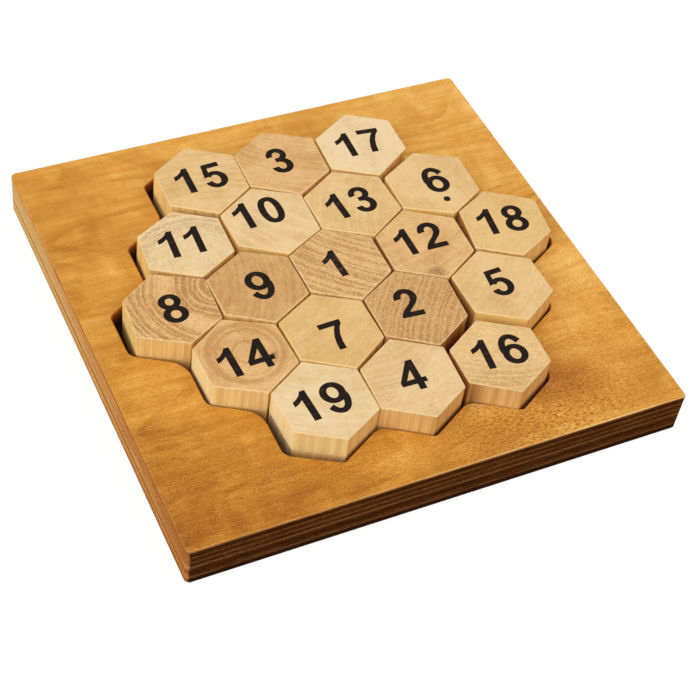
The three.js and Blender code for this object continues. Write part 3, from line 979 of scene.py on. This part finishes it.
# Where each stamp sits on its tile: digit, millimetres to the right and back, and tilt in degrees
STAMPS = {
    1: (("1", -3.5, 0.3, 3.4),),
    2: (("2", -2.5, 2.9, -3.0),),
    3: (("3", -0.7, 1.1, 2.0),),
    4: (("4", -0.8, 0.9, -0.4),),
    5: (("5", -0.8, 1.7, 3.8),),
    6: (("6", 1.8, 0.4, 4.0), (".", 1.6, -10.8, 0.0)),
    7: (("7", -0.2, -2.8, 2.0),),
    8: (("8", 0.6, -0.6, 1.9),),
    9: (("9", 0.9, -0.5, 5.0),),
    10: (("1", -9.6, 5.2, 1.3), ("0", 2.5, 5.4, 1.0)),
    11: (("1", -7.0, -0.1, -2.1), ("1", 2.9, -0.3, -1.4)),
    12: (("1", -7.8, 2.6, 0.4), ("2", 4.1, 3.0, -0.7)),
    13: (("1", -7.6, -0.5, 2.3), ("3", 4.4, 0.1, 2.1)),
    14: (("1", -7.7, -1.8, 0.7), ("4", 4.2, -1.6, 0.9)),
    15: (("1", -6.9, 0.9, -0.4), ("5", 5.5, 0.9, 3.5)),
    16: (("1", -7.1, 0.9, -5.9), ("6", 5.2, -0.1, 0.5)),
    17: (("1", -6.8, 0.9, -1.3), ("7", 4.9, 0.7, -5.4)),
    18: (("1", -7.3, 1.5, -4.9), ("8", 4.8, 0.4, -4.5)),
    19: (("1", -7.8, 0.2, 2.9), ("9", 4.4, 0.4, 7.5)),
}


def make_number(number, tile, black):
    """The inked number on a tile's top, a hair above and below its surface."""
    points, rings = [], []
    for digit, right, back, tilt in STAMPS[number]:
        width, outlines = DIGITS[digit]
        turn = Matrix.Rotation(math.radians(tilt), 2)
        for outline in outlines:
            ring = []
            for x, y in outline:
                spot = turn @ Vector(((x - width / 2) * DIGIT_HEIGHT, (y - 0.5) * DIGIT_HEIGHT))
                spot += Vector((right, back))
                ring.append(len(points))
                points.append(spot)
            rings.append(ring)
    verts, _, faces, _, _, from_rings = delaunay_2d_cdt(points, [], rings, INSIDE_RINGS, DIGIT_PRECISION)
    faces = [face for face, within in zip(faces, from_rings) if within]
    bm = bmesh.new()
    top = [bm.verts.new((v.x * MM, v.y * MM, (TILE_HEIGHT + INK_RISE) * MM)) for v in verts]
    base = [bm.verts.new((v.x * MM, v.y * MM, (TILE_HEIGHT - INK_RISE) * MM)) for v in verts]
    sides = {}
    for face in faces:
        bm.faces.new([top[i] for i in face])
        bm.faces.new([base[i] for i in reversed(face)])
        for index, start in enumerate(face):
            end = face[(index + 1) % len(face)]
            if (end, start) in sides:
                del sides[(end, start)]
            else:
                sides[(start, end)] = True
    for start, end in sides:
        bm.faces.new((base[start], base[end], top[end], top[start]))
    loose = [v for v in bm.verts if not v.link_faces]
    bmesh.ops.delete(bm, geom=loose, context="VERTS")
    bmesh.ops.recalc_face_normals(bm, faces=bm.faces)
    stamp = piece("number_%02d" % number, bm, (black,))
    stamp.data.set_sharp_from_angle(angle=math.radians(DIGIT_CREASE))
    stamp.matrix_world = tile.matrix_world
    bpy.context.view_layer.update()
    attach(stamp, "tile_%02d" % number)


make_board()
black = ink("ink", INK_WEAR)
thin_black = ink("ink_worn", WORN_INK_WEAR)
for row in ROWS:
    for number in row:
        make_number(number, make_tile(number), thin_black if number in WORN_INK else black)

# Floor, white where it is looked at and duller for the light it sends back
FLOOR_REACH = 4.0
FLOOR_HEIGHT = -0.1 * MM
FLOOR_GREY = (0.10, 0.10, 0.10, 1.0)
FLOOR_GLOW = 0.93
WHITE = (1.0, 1.0, 1.0, 1.0)
floor_mesh = bpy.data.meshes.new("floor")
floor_corners = [
    (x * FLOOR_REACH, y * FLOOR_REACH, FLOOR_HEIGHT) for x, y in ((-1, -1), (1, -1), (1, 1), (-1, 1))
]
floor_mesh.from_pydata(floor_corners, [], [(0, 1, 2, 3)])
floor = bpy.data.objects.new("floor", floor_mesh)
bpy.context.scene.collection.objects.link(floor)
ground = Nodes("floor")
dull = ground.add("ShaderNodeBsdfDiffuse", {"Color": FLOOR_GREY})
glow = ground.add("ShaderNodeEmission", {"Color": WHITE, "Strength": FLOOR_GLOW})
lit = ground.add("ShaderNodeAddShader", {0: dull.outputs[0], 1: glow.outputs[0]})
both = ground.add("ShaderNodeMixShader", {0: ground.looked_at(), 1: dull.outputs[0], 2: lit.outputs[0]})
ground.add("ShaderNodeOutputMaterial", {"Surface": both.outputs[0]})
floor_mesh.materials.append(ground.owner)

# Soft light: a pale room, white where it is looked at, and a wide lamp on each side of the camera
ROOM_LEVEL = 0.70
ROOM_LEVEL_SEEN = 1.0
ROOM_HUE = (1.0, 0.975, 0.94, 1.0)
LAMP_SIZE = 1.3
LAMP_COLOUR = (1.0, 0.97, 0.93)
LAMPS = (("left", (-1.30, -0.51, 0.99), 13.2), ("right", (1.11, -0.77, 1.05), 6.0))

room = Nodes("room", bpy.data.worlds)
seen = room.looked_at()
level = room.add("ShaderNodeMapRange", {"Value": seen, "To Min": ROOM_LEVEL, "To Max": ROOM_LEVEL_SEEN})
hue = room.mix(seen, ROOM_HUE, WHITE)
sky = room.add("ShaderNodeBackground", {"Color": hue, "Strength": level.outputs[0]})
room.add("ShaderNodeOutputWorld", {"Surface": sky.outputs[0]})
bpy.context.scene.world = room.owner


def lamp(name, place, power):
    """A wide square lamp that faces the board's middle."""
    data = bpy.data.lights.new(name, "AREA")
    data.shape = "RECTANGLE"
    data.size = LAMP_SIZE
    data.size_y = LAMP_SIZE
    data.energy = power
    data.color = LAMP_COLOUR
    obj = bpy.data.objects.new(name, data)
    obj.location = place
    obj.rotation_euler = (-Vector(place)).to_track_quat("-Z", "Y").to_euler()
    bpy.context.scene.collection.objects.link(obj)


for name, place, power in LAMPS:
    lamp(name, place, power)

# Camera
camera_data = bpy.data.cameras.new("camera")
camera_data.lens = CAMERA_LENS
camera_data.sensor_width = SENSOR_WIDTH
camera = bpy.data.objects.new("camera", camera_data)
right = Vector(CAMERA_RIGHT).normalized()
up = -Vector(CAMERA_DOWN).normalized()
back = right.cross(up)
turn = Matrix((right, up, back)).transposed().to_4x4()
camera.matrix_world = Matrix.Translation(CAMERA_PLACE) @ turn
bpy.context.scene.collection.objects.link(camera)
bpy.context.scene.camera = camera
bpy.context.scene.view_settings.view_transform = "Standard"

bpy.context.view_layer.update()
